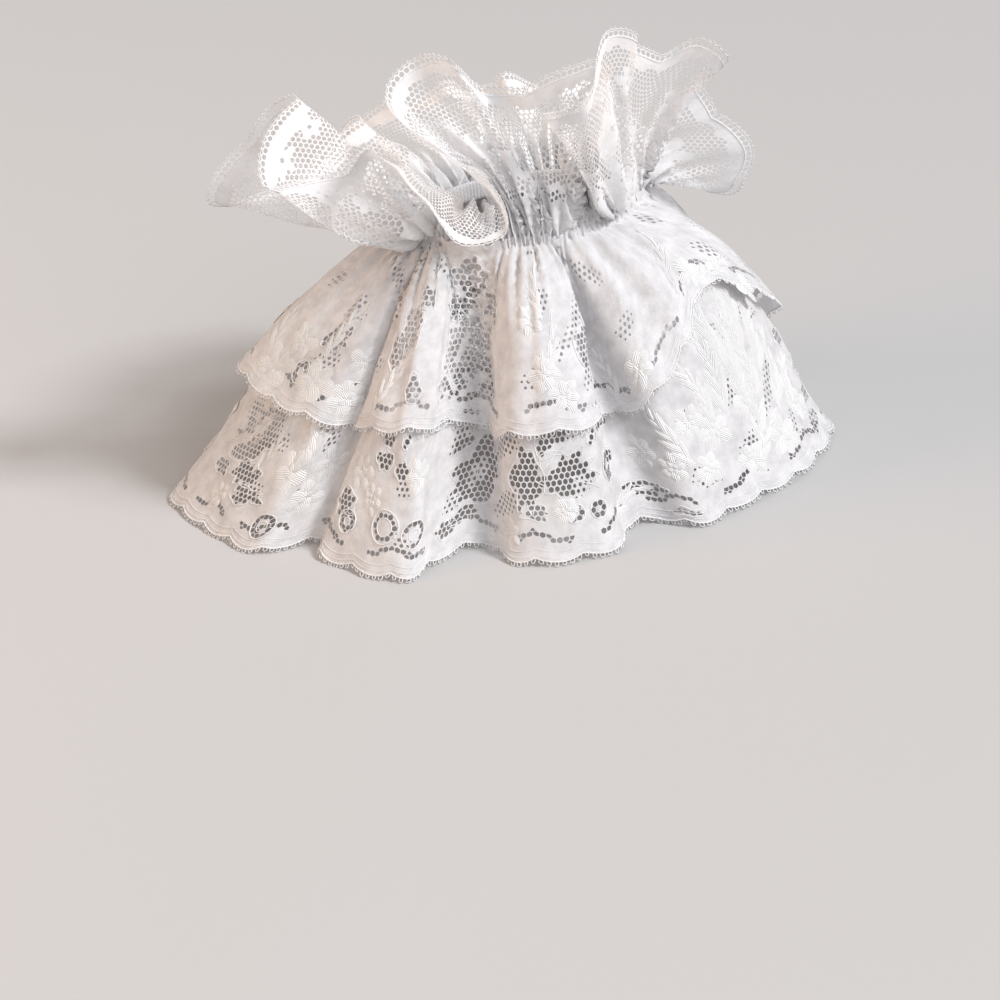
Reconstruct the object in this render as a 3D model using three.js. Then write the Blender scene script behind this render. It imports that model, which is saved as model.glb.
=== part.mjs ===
// Lace wrist cuff: two gathered flounces below the wrist line, a ruffled heading above it and the elastic
// that gathers all three. Millimetres and degrees. The wrist axis is vertical, +Z up, the front faces -Y,
// and the cuff stands on the hem of its long flounce.
import * as THREE from "three";

// Driving sizes
const WRIST_WIDTH = 56;
const WRIST_DEPTH = 44;
const ELASTIC_WALL = 1.2;
const ELASTIC_HEIGHT = 6;
const LACE_WALL = 1.1;
const SEAM_GAP = 0.4;
const CINCH_HEIGHT = 74;
const SEAM_OFFSET = 2.2;
const LAYER_GAP = 1;
const SCALLOP_NOTCH = 1.8;
const HEADING_SCALLOP = 26;
const HEADING_SCALLOP_DEPTH = 2.5;
const GATHER_DEPTH = 0.7;

// Shares of a fold line's length where the small gathers are full and where they have died out
const GATHER_FULL = 0.05;
const GATHER_END = 0.3;

// How fast the short flounce's hem stands off: 1 is evenly, more is later
const STAND_POWER = 1.5;

// Facets: base columns round each strip, hem columns for each base column, and the levels down a strip
const COLUMNS = 105;
const HEM_COLUMNS = 3;
const COLUMNS_PER_SCALLOP = 5;
const LONG_LEVELS = [0, 0.09, 0.23, 0.42, 0.62, 0.79, 0.91];
const SHORT_LEVELS = [0, 0.15, 0.38, 0.66, 0.85];
const HEADING_LEVELS = [0, 0.12, 0.28, 0.47, 0.67, 0.82, 1];
const ELASTIC_SIDES = 24;

// Net windows are cut through at one column in three, in the row of facets below the level of this number
const COLUMNS_PER_WINDOW = 3;
const LONG_WINDOW_ROW = 5;
const SHORT_WINDOW_ROW = 3;
const HEADING_WINDOW_ROW = 4;

// Fineness of the curves' lengths and of the surface normals
const SAMPLES_PER_FOLD = 20;
const LINE_SAMPLES = 12;
const SLOPE_STEP = 0.0015;

// Share of the strip's length on either side over which the short flounce smooths the folds that it lies on
const LAYER_SMOOTHING = 0.018;

// Fold lines of the flounces, from the back left round the front to the right. cinch: where the line leaves
// the wrist line, from the front centre. x, y: where it meets the floor, from the wrist axis. bow: how far it
// bellies out. reach: how far the short flounce comes down it. stand: how far that hem stands off it.
const FLOUNCE_FOLDS = [
  { cinch: -95, x: -110, y: 1, bow: 7.5, reach: 63, stand: 6 },
  { cinch: -86, x: -103, y: -20, bow: 7, reach: 62, stand: 5 },
  { cinch: -78, x: -93, y: -35, bow: 5, reach: 60, stand: 4 },
  { cinch: -71, x: -85, y: -44, bow: 4, reach: 58, stand: 3 },
  { cinch: -65, x: -76, y: -43, bow: 2, reach: 56, stand: 2 },
  { cinch: -61, x: -66, y: -42, bow: 1, reach: 54, stand: 2 },
  { cinch: -59, x: -67, y: -51, bow: 1, reach: 54, stand: 2 },
  { cinch: -57, x: -59, y: -60, bow: 3, reach: 54, stand: 2 },
  { cinch: -54, x: -49, y: -69, bow: 4, reach: 54, stand: 2 },
  { cinch: -51, x: -42, y: -71, bow: 3, reach: 52, stand: 2 },
  { cinch: -48, x: -37, y: -65, bow: 0, reach: 49, stand: 2 },
  { cinch: -40, x: -30, y: -58, bow: -3, reach: 47, stand: 2 },
  { cinch: -27, x: -22, y: -55, bow: -3, reach: 47, stand: 2 },
  { cinch: -16, x: -18, y: -61, bow: 0, reach: 49, stand: 2 },
  { cinch: -10, x: -13, y: -69, bow: 5, reach: 51, stand: 3 },
  { cinch: -3, x: -4, y: -71, bow: 7, reach: 52, stand: 3 },
  { cinch: 3, x: 6, y: -70, bow: 7, reach: 52, stand: 3 },
  { cinch: 8, x: 15, y: -66, bow: 4, reach: 50, stand: 2 },
  { cinch: 12, x: 17, y: -56, bow: -1, reach: 47, stand: 2 },
  { cinch: 15, x: 25, y: -52, bow: 1, reach: 48, stand: 2 },
  { cinch: 20, x: 37, y: -58, bow: 7, reach: 48, stand: 3 },
  { cinch: 32, x: 51, y: -48, bow: 10, reach: 38, stand: 3 },
  { cinch: 46, x: 65, y: -36, bow: 10, reach: 28, stand: 3 },
  { cinch: 62, x: 75, y: -20, bow: 10, reach: 35, stand: 4 },
  { cinch: 80, x: 79, y: -2, bow: 9, reach: 51, stand: 5 },
];

// Even folds round the back of the flounces, ridge and furrow by turns on an ellipse on the floor
const FLOUNCE_BACK = { from: 100, to: 250, folds: 6, middleX: -14, width: 184, depth: 142, furrow: 0.85 };
const FLOUNCE_BACK_RIDGE = { bow: 7, reach: 60, stand: 4 };
const FLOUNCE_BACK_FURROW = { bow: -1, reach: 54, stand: 3 };

// Fold lines of the heading. z is the height of the free edge over the wrist line.
const HEADING_FOLDS = [
  { cinch: -114, x: -64, y: 14, z: 12, bow: -2 },
  { cinch: -105, x: -87, y: -2, z: 13, bow: -7 },
  { cinch: -95, x: -76, y: -4, z: 30, bow: -4 },
  { cinch: -86, x: -58, y: -13, z: 46, bow: 2 },
  { cinch: -76, x: -67, y: -24, z: 37, bow: -3 },
  { cinch: -68, x: -70, y: -29, z: 27, bow: -10 },
  { cinch: -60, x: -52, y: -20, z: 25, bow: -5 },
  { cinch: -53, x: -42, y: -22, z: 32, bow: 2 },
  { cinch: -46, x: -38, y: -33, z: 34, bow: 6 },
  { cinch: -38, x: -27, y: -47, z: 25, bow: 8 },
  { cinch: -31, x: -18, y: -55, z: 14, bow: 9 },
  { cinch: -25, x: -6, y: -52, z: 14, bow: 8 },
  { cinch: -20, x: -7, y: -42, z: 22, bow: 6 },
  { cinch: -15, x: -20, y: -31, z: 31, bow: 7 },
  { cinch: -10, x: -30, y: -23, z: 37, bow: 6 },
  { cinch: -5, x: -35, y: -15, z: 45, bow: 5 },
  { cinch: -1, x: -24, y: -12, z: 51, bow: 4 },
  { cinch: 4, x: -16, y: -19, z: 53, bow: 4 },
  { cinch: 9, x: -9, y: -14, z: 42, bow: 2 },
  { cinch: 16, x: 2, y: -20, z: 44, bow: 3 },
  { cinch: 23, x: 13, y: -24, z: 47, bow: 4 },
  { cinch: 30, x: 24, y: -24, z: 50, bow: 4 },
  { cinch: 35, x: 26, y: -33, z: 48, bow: 3 },
  { cinch: 40, x: 15, y: -38, z: 44, bow: 2 },
  { cinch: 45, x: 7, y: -44, z: 43, bow: 0 },
  { cinch: 50, x: 17, y: -49, z: 46, bow: -2 },
  { cinch: 56, x: 25, y: -37, z: 60, bow: 0 },
  { cinch: 62, x: 34, y: -29, z: 57, bow: 3 },
  { cinch: 69, x: 32, y: -17, z: 50, bow: 4 },
  { cinch: 76, x: 42, y: -9, z: 45, bow: 4 },
  { cinch: 83, x: 51, y: -11, z: 47, bow: 4 },
  { cinch: 90, x: 58, y: -13, z: 42, bow: 2 },
  { cinch: 96, x: 50, y: 1, z: 32, bow: 3 },
  { cinch: 102, x: 59, y: 4, z: 18, bow: 3 },
  { cinch: 108, x: 64, y: 6, z: 7, bow: 1 },
  { cinch: 114, x: 61, y: 8, z: -4, bow: 1 },
  { cinch: 120, x: 53, y: 12, z: -6, bow: 2 },
];
const HEADING_BACK = { from: 130, to: 237, folds: 5, middleX: -8, width: 118, depth: 130, furrow: 0.74 };
const HEADING_BACK_RIDGE = { z: 13, bow: 5 };
const HEADING_BACK_FURROW = { z: 24, bow: 1 };

const TURN = 360;
const UP = new THREE.Vector3(0, 0, 1);

// Least level share of the hem's normal that its wall is widened for, so that it stays a full wall wide
const STEEPEST_HEM = 0.6;

// A point at an angle from the front centre, positive towards +X, on an ellipse round the wrist axis.
function onEllipse(degrees, halfWidth, halfDepth, z) {
  const a = THREE.MathUtils.degToRad(degrees);
  return new THREE.Vector3(halfWidth * Math.sin(a), -halfDepth * Math.cos(a), z);
}

// Cloth bellies out most a third of the way from the wrist line to the free edge, where this share is 1.
function bellyShare(across) {
  const peak = (1 / 3) * (2 / 3) ** 2;
  return (across * (1 - across) ** 2) / peak;
}

// The front rows followed by even ridges and furrows round the back.
function withBackFolds(front, back, ridge, furrow) {
  const rows = [...front];
  const steps = 2 * back.folds;
  for (let i = 0; i <= steps; i += 1) {
    const isRidge = i % 2 === 1;
    const scale = isRidge ? 1 : back.furrow;
    const cinch = back.from + ((back.to - back.from) * i) / steps;
    const edge = onEllipse(cinch, (scale * back.width) / 2, (scale * back.depth) / 2, 0);
    rows.push({ ...(isRidge ? ridge : furrow), cinch, x: back.middleX + edge.x, y: edge.y });
  }
  return rows;
}

// A gathered strip: fold lines run from the wrist line (across = 0) to the free edge (across = 1), and
// smooth closed curves join them.
class GatheredStrip {
  constructor(rows, { seamHeight, edgeHeight, seamGap }) {
    const first = rows[0].cinch;
    this.rows = rows;
    this.halfWidth = WRIST_WIDTH / 2 + ELASTIC_WALL + seamGap + LACE_WALL / 2;
    this.halfDepth = WRIST_DEPTH / 2 + ELASTIC_WALL + seamGap + LACE_WALL / 2;
    this.seamHeight = seamHeight;
    this.edge = new THREE.CatmullRomCurve3(
      rows.map((row) => new THREE.Vector3(row.x, row.y, edgeHeight(row))), true, "centripetal");
    this.edge.arcLengthDivisions = SAMPLES_PER_FOLD * rows.length;
    this.slip = this.column((row, i) => row.cinch - first - (TURN * i) / rows.length);
    this.bow = this.column((row) => row.bow);
    this.first = first;
  }

  // A smooth closed curve through one column of the table, read at a place round the strip.
  column(valueOf) {
    const points = this.rows.map((row, i) => new THREE.Vector3(valueOf(row, i), 0, 0));
    const curve = new THREE.CatmullRomCurve3(points, true, "catmullrom", 0.5);
    return (place) => curve.getPoint(THREE.MathUtils.euclideanModulo(place, 1)).x;
  }

  // The place of a share of the free edge's length, so that columns are evenly spaced along that edge.
  placeOf(share) {
    return this.edge.getUtoTmapping(share);
  }

  seamPoint(place) {
    const degrees = this.first + TURN * place + this.slip(place);
    return onEllipse(degrees, this.halfWidth, this.halfDepth, this.seamHeight);
  }

  // One small pleat between neighbouring fold lines, dying out away from the wrist line.
  gather(place, across) {
    const fade = Math.max(0, 1 - across / GATHER_END);
    const pleat = Math.cos(2 * Math.PI * place * this.rows.length);
    return GATHER_DEPTH * pleat * fade * Math.min(1, across / GATHER_FULL);
  }

  point(place, across) {
    const seam = this.seamPoint(place);
    const chord = this.edge.getPoint(THREE.MathUtils.euclideanModulo(place, 1)).sub(seam);
    const flat = new THREE.Vector3(chord.x, chord.y, 0);
    const outward = flat.clone().normalize();
    const belly = outward.multiplyScalar(-chord.z).addScaledVector(UP, flat.length()).normalize();
    const bow = bellyShare(across) * this.bow(place) + this.gather(place, across);
    return seam.addScaledVector(chord, across).addScaledVector(belly, bow);
  }

  lineLength(place) {
    let length = 0;
    for (let i = 0; i < LINE_SAMPLES; i += 1) {
      const near = this.point(place, i / LINE_SAMPLES);
      length += near.distanceTo(this.point(place, (i + 1) / LINE_SAMPLES));
    }
    return length;
  }
}

// Unit normal of a surface at a place round and a share across: along the strip crossed with across it.
function normalAt(surface, place, across, stepAlong = SLOPE_STEP) {
  const near = Math.max(across - SLOPE_STEP, 0);
  const far = Math.min(across + SLOPE_STEP, 1);
  const along = surface(place + stepAlong, across).sub(surface(place - stepAlong, across));
  const down = surface(place, far).sub(surface(place, near));
  return along.cross(down).normalize();
}

// A closed wall round a surface: two faces half a wall from it on either side, joined at both rims and round
// each window. Rings may have more columns towards the free edge, and the last may stand level on the floor.
function wallGeometry(surface, rings) {
  const positions = [];
  const faces = [];
  const starts = { front: [], back: [] };
  for (const side of ["front", "back"]) {
    const sign = side === "front" ? 1 : -1;
    for (const ring of rings) {
      starts[side].push(positions.length / 3);
      for (let i = 0; i < ring.columns; i += 1) {
        const place = ring.placeOf(i / ring.columns);
        const across = ring.across(i);
        const normal = normalAt(surface, place, across);
        let reach = LACE_WALL / 2;
        if (ring.level) {
          normal.z = 0;
          reach /= Math.max(normal.length(), STEEPEST_HEM);
          normal.normalize();
        }
        const p = surface(place, across).addScaledVector(normal, sign * reach);
        if (ring.level) p.z = ring.level(i);
        positions.push(p.x, p.y, p.z);
      }
    }
  }
  const addFace = (a, b, c, flipped) => faces.push(...(flipped ? [a, c, b] : [a, b, c]));
  const at = (side, ring, i) => starts[side][ring] + (i % rings[ring].columns);
  const isOpen = (ring, i) => rings[ring].hasWindows && i % COLUMNS_PER_WINDOW === 0;
  for (const side of ["front", "back"]) {
    const flipped = side === "back";
    for (let r = 0; r + 1 < rings.length; r += 1) {
      const split = rings[r + 1].columns / rings[r].columns;
      const middle = Math.ceil(split / 2);
      for (let i = 0; i < rings[r].columns; i += 1) {
        if (isOpen(r, i)) continue;
        for (let k = 0; k < split; k += 1) {
          const apex = k < middle ? i : i + 1;
          const below = i * split + k;
          addFace(at(side, r, apex), at(side, r + 1, below + 1), at(side, r + 1, below), flipped);
        }
        addFace(at(side, r, i), at(side, r, i + 1), at(side, r + 1, i * split + middle), flipped);
      }
    }
  }
  for (const [ring, flipped] of [[0, false], [rings.length - 1, true]]) {
    for (let i = 0; i < rings[ring].columns; i += 1) {
      addFace(at("back", ring, i), at("back", ring, i + 1), at("front", ring, i + 1), flipped);
      addFace(at("back", ring, i), at("front", ring, i + 1), at("front", ring, i), flipped);
    }
  }
  for (let r = 0; r + 1 < rings.length; r += 1) {
    for (let i = 0; i < rings[r].columns; i += 1) {
      if (!isOpen(r, i)) continue;
      const corners = [[r, i], [r, i + 1], [r + 1, i + 1], [r + 1, i]];
      corners.forEach((from, k) => {
        const to = corners[(k + 1) % corners.length];
        addFace(at("front", ...from), at("front", ...to), at("back", ...to), false);
        addFace(at("front", ...from), at("back", ...to), at("back", ...from), false);
      });
    }
  }
  const geometry = new THREE.BufferGeometry();
  geometry.setAttribute("position", new THREE.Float32BufferAttribute(positions, 3));
  geometry.setIndex(faces);
  geometry.computeVertexNormals();
  return geometry;
}

const isNotch = (i) => i % COLUMNS_PER_SCALLOP === 0;

// The rings of a strip at its levels, with windows below the level of the given number.
function baseRings(strip, levels, windowRow) {
  return levels.map((level, number) => ({
    columns: COLUMNS,
    placeOf: (share) => strip.placeOf(share),
    across: () => level,
    hasWindows: number === windowRow,
  }));
}

// The long flounce: its hem stands on the floor, with a notch between scallops.
const longStrip = new GatheredStrip(
  withBackFolds(FLOUNCE_FOLDS, FLOUNCE_BACK, FLOUNCE_BACK_RIDGE, FLOUNCE_BACK_FURROW),
  { seamHeight: CINCH_HEIGHT - SEAM_OFFSET, edgeHeight: () => 0, seamGap: SEAM_GAP });
const longSurface = (place, across) => longStrip.point(place, across);

function longFlounceGeometry() {
  const rings = baseRings(longStrip, LONG_LEVELS, LONG_WINDOW_ROW);
  rings.push({
    columns: COLUMNS * HEM_COLUMNS,
    placeOf: (share) => longStrip.placeOf(share),
    across: () => 1,
    level: (i) => (isNotch(i) ? SCALLOP_NOTCH : 0),
  });
  return wallGeometry(longSurface, rings);
}

// The short flounce lies on the long one and follows its folds.
function shortFlounceGeometry() {
  const reachAt = longStrip.column((row) => row.reach);
  const standAt = longStrip.column((row) => row.stand);
  const closest = LACE_WALL + LAYER_GAP;
  const surface = (place, across) => {
    const down = (across * reachAt(place)) / longStrip.lineLength(place);
    const proud = closest + Math.max(standAt(place) - closest, 0) * across ** STAND_POWER;
    const normal = normalAt(longSurface, place, down, LAYER_SMOOTHING);
    return longSurface(place, down).addScaledVector(normal, -proud);
  };
  const rings = baseRings(longStrip, SHORT_LEVELS, SHORT_WINDOW_ROW);
  const notch = SCALLOP_NOTCH / FLOUNCE_BACK_RIDGE.reach;
  rings.push({
    columns: COLUMNS * HEM_COLUMNS,
    placeOf: (share) => longStrip.placeOf(share),
    across: (i) => (isNotch(i) ? 1 - notch : 1),
  });
  return wallGeometry(surface, rings);
}

// The heading above the wrist line, with wide shallow scallops along its free edge.
function headingGeometry() {
  const strip = new GatheredStrip(
    withBackFolds(HEADING_FOLDS, HEADING_BACK, HEADING_BACK_RIDGE, HEADING_BACK_FURROW),
    {
      seamHeight: CINCH_HEIGHT + SEAM_OFFSET,
      edgeHeight: (row) => CINCH_HEIGHT + row.z,
      seamGap: SEAM_GAP,
    });
  const scallops = Math.round(strip.edge.getLength() / HEADING_SCALLOP);
  const surface = (place, across) => {
    const wave = Math.abs(Math.sin(Math.PI * scallops * place));
    const trim = (HEADING_SCALLOP_DEPTH * (1 - wave)) / strip.lineLength(place);
    return strip.point(place, across * (1 - trim));
  };
  return wallGeometry(surface, baseRings(strip, HEADING_LEVELS, HEADING_WINDOW_ROW));
}

// The elastic inside the gathers: an oval ring, open where the wrist goes through.
function elasticGeometry() {
  const outline = new THREE.Shape();
  outline.absellipse(0, 0, WRIST_WIDTH / 2 + ELASTIC_WALL, WRIST_DEPTH / 2 + ELASTIC_WALL, 0, 2 * Math.PI);
  const opening = new THREE.Path();
  opening.absellipse(0, 0, WRIST_WIDTH / 2, WRIST_DEPTH / 2, 0, 2 * Math.PI, true);
  outline.holes.push(opening);
  const options = { depth: ELASTIC_HEIGHT, bevelEnabled: false, curveSegments: ELASTIC_SIDES };
  return new THREE.ExtrudeGeometry(outline, options);
}

function piece(name, geometry, finish) {
  const material = new THREE.MeshStandardMaterial({ ...finish, metalness: 0 });
  const mesh = new THREE.Mesh(geometry, material);
  mesh.name = name;
  return mesh;
}

const LACE = { color: 0xf3f1f2, roughness: 0.85 };
const ELASTIC = { color: 0xe9e6ee, roughness: 0.7 };

const cuff = new THREE.Group();
const elastic = piece("wrist_elastic", elasticGeometry(), ELASTIC);
elastic.position.z = CINCH_HEIGHT - ELASTIC_HEIGHT / 2;
cuff.add(elastic);
cuff.add(piece("heading_ruffle", headingGeometry(), LACE));
cuff.add(piece("short_flounce", shortFlounceGeometry(), LACE));
cuff.add(piece("long_flounce", longFlounceGeometry(), LACE));

// The origin is the middle of the cuff's footprint, on the floor.
const middle = new THREE.Box3().setFromObject(cuff).getCenter(new THREE.Vector3());
cuff.position.set(-middle.x, -middle.y, 0);

export default cuff;
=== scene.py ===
"""Looks of the lace wrist cuff: three strips of openwork lace gathered on a hidden elastic.

Each strip is laid out flat, as hexagonal net with clothwork, holes and raised cords, and then folded on
the same fold lines as its solid. Sizes are in millimetres until a mesh is made. In the flat lace, s runs
along the free edge and t is the distance from that edge.
"""
import math

import bpy
import numpy as np
from mathutils import Matrix, Vector


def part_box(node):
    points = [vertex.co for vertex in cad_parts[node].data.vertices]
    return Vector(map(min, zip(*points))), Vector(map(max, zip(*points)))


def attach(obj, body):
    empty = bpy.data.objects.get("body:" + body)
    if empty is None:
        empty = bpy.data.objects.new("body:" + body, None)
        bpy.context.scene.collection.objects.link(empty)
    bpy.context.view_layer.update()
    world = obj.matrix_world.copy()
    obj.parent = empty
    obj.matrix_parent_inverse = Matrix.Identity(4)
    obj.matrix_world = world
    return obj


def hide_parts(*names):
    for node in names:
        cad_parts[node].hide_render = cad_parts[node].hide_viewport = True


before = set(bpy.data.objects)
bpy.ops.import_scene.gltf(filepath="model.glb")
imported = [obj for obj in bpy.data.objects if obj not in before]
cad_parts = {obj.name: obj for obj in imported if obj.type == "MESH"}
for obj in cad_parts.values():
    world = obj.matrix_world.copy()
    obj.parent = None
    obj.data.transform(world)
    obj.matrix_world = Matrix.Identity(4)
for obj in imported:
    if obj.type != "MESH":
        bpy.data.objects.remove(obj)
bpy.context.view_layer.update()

MM = 0.001
TAU = 2 * math.pi

# The cuff's sizes, as in its solids
WRIST_WIDTH = 56
WRIST_DEPTH = 44
ELASTIC_WALL = 1.2
LACE_WALL = 1.1
SEAM_GAP = 0.4
CINCH_HEIGHT = 74
SEAM_OFFSET = 2.2
LAYER_GAP = 1
GATHER_DEPTH = 0.7
GATHER_FULL = 0.05
GATHER_END = 0.3
STAND_POWER = 1.5
# Shares of the way round over which slopes are taken
LAYER_SMOOTHING = 0.018
SLOPE_STEP = 0.0015
SQUEEZE_STEP = 0.0008
# Steps in which a free edge and a fold line are measured
EDGE_STEPS = 2400
LINE_STEPS = 12
# The highest value of across * (1 - across) ** 2 is the inverse of this
BOW_SCALE = 27 / 4

# Columns of the two fold tables
CINCH, X, Y = range(3)
BOW, REACH, STAND = range(3, 6)
HEADING_HEIGHT, HEADING_BOW = range(3, 5)

# Fold lines of the flounces: cinch in degrees from the front centre, x, y, bow, reach and stand
FLOUNCE_FOLDS = [
    (-95, -110, 1, 7.5, 63, 6), (-86, -103, -20, 7, 62, 5), (-78, -93, -35, 5, 60, 4),
    (-71, -85, -44, 4, 58, 3), (-65, -76, -43, 2, 56, 2), (-61, -66, -42, 1, 54, 2),
    (-59, -67, -51, 1, 54, 2), (-57, -59, -60, 3, 54, 2), (-54, -49, -69, 4, 54, 2),
    (-51, -42, -71, 3, 52, 2), (-48, -37, -65, 0, 49, 2), (-40, -30, -58, -3, 47, 2),
    (-27, -22, -55, -3, 47, 2), (-16, -18, -61, 0, 49, 2), (-10, -13, -69, 5, 51, 3),
    (-3, -4, -71, 7, 52, 3), (3, 6, -70, 7, 52, 3), (8, 15, -66, 4, 50, 2), (12, 17, -56, -1, 47, 2),
    (15, 25, -52, 1, 48, 2), (20, 37, -58, 7, 48, 3), (32, 51, -48, 10, 38, 3),
    (46, 65, -36, 10, 28, 3), (62, 75, -20, 10, 35, 4), (80, 79, -2, 9, 51, 5),
]
# Even folds round the back. Ridge and furrow are bow, reach and stand, and furrows lie on a smaller oval
FLOUNCE_BACK = dict(
    start=100, end=250, folds=6, middle_x=-14, width=184, depth=142, inset=0.85,
    ridge=(7, 60, 4), furrow=(-1, 54, 3),
)

# Fold lines of the heading: cinch, x, y, height over the wrist line, bow
HEADING_FOLDS = [
    (-114, -64, 14, 12, -2), (-105, -87, -2, 13, -7), (-95, -76, -4, 30, -4), (-86, -58, -13, 46, 2),
    (-76, -67, -24, 37, -3), (-68, -70, -29, 27, -10), (-60, -52, -20, 25, -5),
    (-53, -42, -22, 32, 2), (-46, -38, -33, 34, 6), (-38, -27, -47, 25, 8), (-31, -18, -55, 14, 9),
    (-25, -6, -52, 14, 8), (-20, -7, -42, 22, 6), (-15, -20, -31, 31, 7), (-10, -30, -23, 37, 6),
    (-5, -35, -15, 45, 5), (-1, -24, -12, 51, 4), (4, -16, -19, 53, 4), (9, -9, -14, 42, 2),
    (16, 2, -20, 44, 3), (23, 13, -24, 47, 4), (30, 24, -24, 50, 4), (35, 26, -33, 48, 3),
    (40, 15, -38, 44, 2), (45, 7, -44, 43, 0), (50, 17, -49, 46, -2), (56, 25, -37, 60, 0),
    (62, 34, -29, 57, 3), (69, 32, -17, 50, 4), (76, 42, -9, 45, 4), (83, 51, -11, 47, 4),
    (90, 58, -13, 42, 2), (96, 50, 1, 32, 3), (102, 59, 4, 18, 3), (108, 64, 6, 7, 1),
    (114, 61, 8, -4, 1), (120, 53, 12, -6, 2),
]
# Even folds round the back, where ridge and furrow are height and bow
HEADING_BACK = dict(
    start=130, end=237, folds=5, middle_x=-8, width=118, depth=130, inset=0.74,
    ridge=(13, 5), furrow=(24, 1),
)

# The net's holes, as wide as these shares of their cells
NET_HOLE = 0.78
DENSE_NET_HOLE = 0.62
GAUZE_HOLE = 0.46
LADDER_HOLE = 0.86
SMALLEST_HOLE = 0.2
# Holes close where gathers squeeze cells below one share of the flat width, and are open above another
CLOSED_BELOW = 0.12
OPEN_ABOVE = 0.38
# The net's pitch, and the clothwork at its edges
FLOUNCE_PITCH = 1.85
HEADING_PITCH = 1.75
SEAM_OVERLAP = 2.6
SEAM_CLOTH = 1
HOLE_TO_EDGE = 0.15
# A face that is longer than this along the strip goes over its end
WIDEST_FACE = 10

# Scallops and bands along the free edges
SCALLOP = 13.6
SCALLOP_DEPTH = 1.7
SCALLOP_ROUNDNESS = 0.8
SCALLOP_FADE = 18
LONG_HEM_LIFT = 1.1
HEM_BAND = 4.2
MOTIF_REPEAT = 4 * SCALLOP
HEADING_SCALLOP = 26
HEADING_SCALLOP_DEPTH = 2.5
FRINGE = 2.6
HEADING_BAND = 6.2

# The heading's clothwork over the wrist line, its vine, and the sprigs at its back and below the vine
HEADING_FOOT = 10
VINE_HEIGHT = 31
VINE_WAVE = 1.6
VINE_WAVES = 24
VINE_HALF = 0.75
BACK_SPRIGS, BACK_SPRIG_HEIGHTS, BACK_SPRIG_SIZE = 8, (17, 20), 8
LOW_SPRIGS, LOW_SPRIG_HEIGHT, LOW_SPRIG_SIZE = 16, 39, 5.5
# A sprig's petals: how many, and their place, half length and half width as shares of its size
SPRIG_PETALS, SPRIG_REACH, SPRIG_LENGTH, SPRIG_WIDTH = 5, 0.55, 0.4, 0.24

# Motifs of the flounces: the ladder of holes over the hem, rings round flowers, thin gauze and windows
LADDER_LOW = 1.4
LADDER_RISE = 3.2
LADDER_HALF = 1.1
RING_HALF = 0.95
RING_CORD = 1.15
GAUZE_LEVEL = 0.62
GAUZE_HEIGHT = 5
BACK_MOTIFS = 9
WINDOW_TURN = 0.37
WINDOW_CORD = 0.06
# A pattern's field far from any edge
FAR = 9.0

# A cord along an edge has its height over the free edge and its radius
HEM_CORDS = ((0.25, 0.18), (1.5, 0.09), (HEM_BAND - 0.9, 0.1))
HEADING_CORDS = ((0.1, 0.1), (FRINGE, 0.13))
# Fine cords' radius, the steps along an edge, and how far a cord stands off as a share of its radius
FINE_CORD = 0.13
CORD_STEP = 1.1
CORD_SEAT = 0.6
# Picots have a pitch, a half size and their thread's radius
HEM_PICOTS = (2.1, 0.62, 0.16)
HEADING_PICOTS = (1.75, 0.34, 0.1)

# How far the lace, its cords and its petals stay over the floor
LACE_OVER_FLOOR = 0.03
CORD_OVER_FLOOR = 0.02
PETAL_OVER_FLOOR = 0.04

# Gathers: how many fine pleats go round at the wrist line, and how many wide ones further down
FLOUNCE_PLEATS = (64, 31)
HEADING_PLEATS = (90, 43)
# Their depth as a share of a pleat's length, and the shares of the way down where they begin and die out
FINE_PLEAT_DEPTH, FINE_PLEATS_DEEP, FINE_PLEATS_END = 0.19, 0.08, 0.45
WIDE_PLEAT_DEPTH, WIDE_PLEATS_BEGIN, WIDE_PLEATS_END = 0.11, (0.02, 0.25), (0.4, 0.9)
# Fullness in front and round the back, and the shares of the way round between which it changes
FLOUNCE_FULLNESS = dict(front=0.42, back=1.3, begins=(0.6, 0.68), ends=(0.95, 1))
HEADING_FULLNESS = dict(front=1.1, back=1.8, begins=(0.74, 0.8), ends=(0.97, 1))
# The stretch that the photograph doesn't show begins at these shares of the way round
FLOUNCE_HIDDEN, HEADING_HIDDEN = 0.64, 0.78
# The depth of slow and fine unevenness, and where on the way down it comes in
CRINKLE_SLOW, CRINKLE_FINE, CRINKLE_BEGINS = 0.3, 0.22, (0.1, 0.5)

# The photograph's view: how far off the front of the wrist line is, millimetres a pixel there, its pixel
ELEVATION = math.radians(21.5)
ROLL = math.radians(6.5)
DISTANCE = 900
PIXEL = 0.27
CINCH_FRONT_X, CINCH_FRONT_Y = 530, 240
# The picture's width in pixels, and in millimetres on the camera's sensor
PICTURE = 1000
SENSOR = 36

# Net windows by their place in the photograph: x, y, then half sizes in mm, tilt in degrees and teeth
SHORT_WINDOWS = [
    (472, 279, 6.5, 6, 0, 6), (460, 308, 6, 4.6, 10, 5), (490, 312, 5.6, 5.2, 20, 5),
    (468, 348, 12, 9.8, 0, 8), (450, 381, 6, 6.5, -20, 6), (490, 389, 4.2, 2.9, 10, 4),
    (472, 410, 3.6, 1.3, 5, 3), (442, 424, 3.6, 1.6, -8, 3), (488, 424, 2.8, 1.2, 5, 3),
    (412, 331, 7, 7, 10, 6), (398, 352, 5.4, 6, 0, 5), (424, 296, 3.6, 5, 0, 4),
    (412, 388, 3, 4.6, -10, 4), (336, 334, 7, 4.6, 0, 6), (366, 312, 4, 3.4, 0, 4),
    (590, 352, 7, 11, 15, 7), (600, 402, 4.2, 1.7, 5, 4), (742, 299, 5, 4.6, 20, 5),
]
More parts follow.
